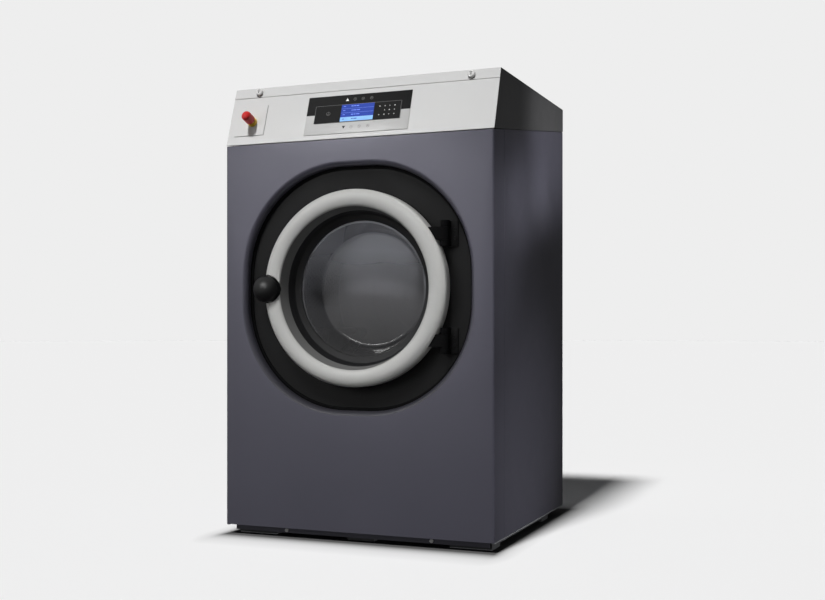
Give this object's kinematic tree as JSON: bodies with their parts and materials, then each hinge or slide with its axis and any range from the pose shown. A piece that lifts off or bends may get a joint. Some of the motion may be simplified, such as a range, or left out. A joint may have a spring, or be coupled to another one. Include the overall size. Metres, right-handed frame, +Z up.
{
  "type": "washer-extractor",
  "caption": "Free-standing front-loading washer-extractor: round glazed door in a deep recess, slanted console under a lifting lid, belt-driven drum with three lifters.",
  "frame": {"origin": "centre of the footprint on the floor, at the middle of the overall box", "axes": "+Z up, -Y out of the front of the machine, +X to the right seen from the front"},
  "size_m": [0.71, 0.735, 1.13],
  "materials": {
    "base_cross_front": "galvanised steel, dull",
    "base_cross_rear": "galvanised steel, dull",
    "base_rail_left": "galvanised steel, dull",
    "base_rail_right": "galvanised steel, dull",
    "bearing_front": "stainless, satin",
    "bearing_housing": "painted casting",
    "bearing_rear": "stainless, satin",
    "console_panel": "light, gloss",
    "control_box": "galvanised steel, dull",
    "display_frame": "gloss black",
    "door_bezel": "black, satin",
    "door_gasket": "grey-black, matt",
    "door_glass": "clear bowl",
    "door_knob": "gloss black",
    "door_ring": "light grey, satin",
    "door_surround": "black, satin",
    "drain_disc": "machined",
    "drain_pipe": "matt",
    "drain_valve": "black, matt",
    "drive_belt": "ribbed, matt",
    "drum_pulley": "cast",
    "drum_shell": "stainless, satin",
    "drum_spider": "cast, with machined shaft",
    "fill_hose": "matt",
    "front_panel": "painted sheet, satin",
    "glass_clamp": "stainless, satin",
    "hinge_arm_lower": "black, satin",
    "hinge_arm_upper": "black, satin",
    "hinge_bracket_lower": "black, satin",
    "hinge_bracket_upper": "black, satin",
    "hood_cheek_left": "painted sheet, satin",
    "hood_cheek_right": "painted sheet, satin",
    "inlet_valve_cold": "white, satin",
    "inlet_valve_hot": "white, satin",
    "latch_cam": "stainless, satin",
    "lcd_screen": "lit blue screen",
    "lid_lock_left": "polished",
    "lid_lock_right": "polished",
    "lid_strip": "light, gloss",
    "lifter_1": "stainless, satin",
    "lifter_2": "stainless, satin",
    "lifter_3": "stainless, satin",
    "lock_housing": "black, matt",
    "motor_body": "painted casting",
    "motor_rotor": "stainless, satin",
    "outer_tub": "stainless, satin",
    "plinth_strip": "painted sheet, satin",
    "rear_panel": "painted sheet, satin",
    "side_panel_left": "painted sheet, satin",
    "side_panel_right": "painted sheet, satin",
    "soap_box": "white, satin",
    "soap_flap": "painted sheet, satin",
    "stop_collar": "yellow, gloss",
    "stop_head": "red, gloss",
    "stop_stem": "black, satin",
    "top_lid": "painted sheet, satin",
    "top_shelf": "galvanised steel, dull",
    "tub_front": "stainless, satin",
    "tub_leg_left": "grey primer",
    "tub_leg_right": "grey primer"
  },
  "bodies": {
    "cabinet": {"base_cross_front": "base_cross_front", "base_cross_rear": "base_cross_rear", "base_rail_left": "base_rail_left", "base_rail_right": "base_rail_right", "bearing_front": "bearing_front", "bearing_housing": "bearing_housing", "bearing_rear": "bearing_rear", "console_panel": "console_panel", "control_box": "control_box", "display_frame": "display_frame", "door_gasket": "door_gasket", "door_surround": "door_surround", "drain_pipe": "drain_pipe", "drain_valve": "drain_valve", "drive_belt": "drive_belt", "fill_hose": "fill_hose", "front_panel": "front_panel", "hinge_bracket_lower": "hinge_bracket_lower", "hinge_bracket_upper": "hinge_bracket_upper", "hood_cheek_left": "hood_cheek_left", "hood_cheek_right": "hood_cheek_right", "inlet_valve_cold": "inlet_valve_cold", "inlet_valve_hot": "inlet_valve_hot", "lcd_screen": "lcd_screen", "lock_housing": "lock_housing", "motor_body": "motor_body", "outer_tub": "outer_tub", "plinth_strip": "plinth_strip", "rear_panel": "rear_panel", "side_panel_left": "side_panel_left", "side_panel_right": "side_panel_right", "soap_box": "soap_box", "stop_collar": "stop_collar", "top_shelf": "top_shelf", "tub_front": "tub_front", "tub_leg_left": "tub_leg_left", "tub_leg_right": "tub_leg_right"},
    "top_lid": {"top_lid": "top_lid", "lid_strip": "lid_strip"},
    "lid_lock_left": {"lid_lock_left": "lid_lock_left"},
    "lid_lock_right": {"lid_lock_right": "lid_lock_right"},
    "soap_flap": {"soap_flap": "soap_flap"},
    "stop_button": {"stop_stem": "stop_stem"},
    "stop_head": {"stop_head": "stop_head"},
    "door": {"door_ring": "door_ring", "door_bezel": "door_bezel", "door_glass": "door_glass", "glass_clamp": "glass_clamp", "hinge_arm_upper": "hinge_arm_upper", "hinge_arm_lower": "hinge_arm_lower"},
    "door_latch": {"door_knob": "door_knob", "latch_cam": "latch_cam"},
    "drum": {"drum_shell": "drum_shell", "lifter_1": "lifter_1", "lifter_2": "lifter_2", "lifter_3": "lifter_3", "drum_spider": "drum_spider", "drum_pulley": "drum_pulley"},
    "motor_rotor": {"motor_rotor": "motor_rotor"},
    "drain_disc": {"drain_disc": "drain_disc"}
  },
  "joints": [
    {"name": "top_lid_hinge", "type": "hinge", "parent": "cabinet", "child": "top_lid", "pos_m": [0, 0.305, 1.125], "axis": [-1, 0, 0], "range_deg": [0, 80]},
    {"name": "lid_lock_left_turn", "type": "hinge", "parent": "top_lid", "child": "lid_lock_left", "pos_m": [-0.2845, -0.2781, 1.1177], "axis": [0, 0.9463, -0.3234], "range_deg": [0, 90]},
    {"name": "lid_lock_right_turn", "type": "hinge", "parent": "top_lid", "child": "lid_lock_right", "pos_m": [0.2845, -0.2781, 1.1177], "axis": [0, -0.9463, 0.3234], "range_deg": [0, 90]},
    {"name": "soap_flap_hinge", "type": "hinge", "parent": "top_lid", "child": "soap_flap", "pos_m": [-0.2, 0.2545, 1.1285], "axis": [-1, 0, 0], "range_deg": [0, 100]},
    {"name": "stop_press", "type": "slide", "parent": "cabinet", "child": "stop_button", "axis": [0, 0.9463, -0.3234], "range_m": [0, 0.005], "stiffness_N_per_m": 600, "springref_m": -0.003},
    {"name": "stop_twist", "type": "hinge", "parent": "stop_button", "child": "stop_head", "pos_m": [-0.2885, -0.30569, 1.03698], "axis": [0, -0.9463, 0.3234], "range_deg": [0, 30]},
    {"name": "door_hinge", "type": "hinge", "parent": "cabinet", "child": "door", "pos_m": [0.232, -0.3205, 0.616], "axis": [0, 0, 1], "range_deg": [0, 120]},
    {"name": "door_latch_turn", "type": "hinge", "parent": "door", "child": "door_latch", "pos_m": [-0.2295, -0.3255, 0.616], "axis": [0, -1, 0], "range_deg": [0, 90]},
    {"name": "drum_spin", "type": "hinge", "parent": "cabinet", "child": "drum", "pos_m": [0, -0.2355, 0.616], "axis": [0, -1, 0], "continuous": true},
    {"name": "motor_spin", "type": "hinge", "parent": "cabinet", "child": "motor_rotor", "pos_m": [0.165, 0.2705, 0.165], "axis": [0, -1, 0], "continuous": true},
    {"name": "drain_disc_turn", "type": "hinge", "parent": "cabinet", "child": "drain_disc", "pos_m": [0, -0.0255, 0.24], "axis": [1, 0, 0], "range_deg": [0, 90]}
  ],
  "couplings": [
    {"joint": "motor_spin", "follows": "drum_spin", "ratio": 5}
  ]
}
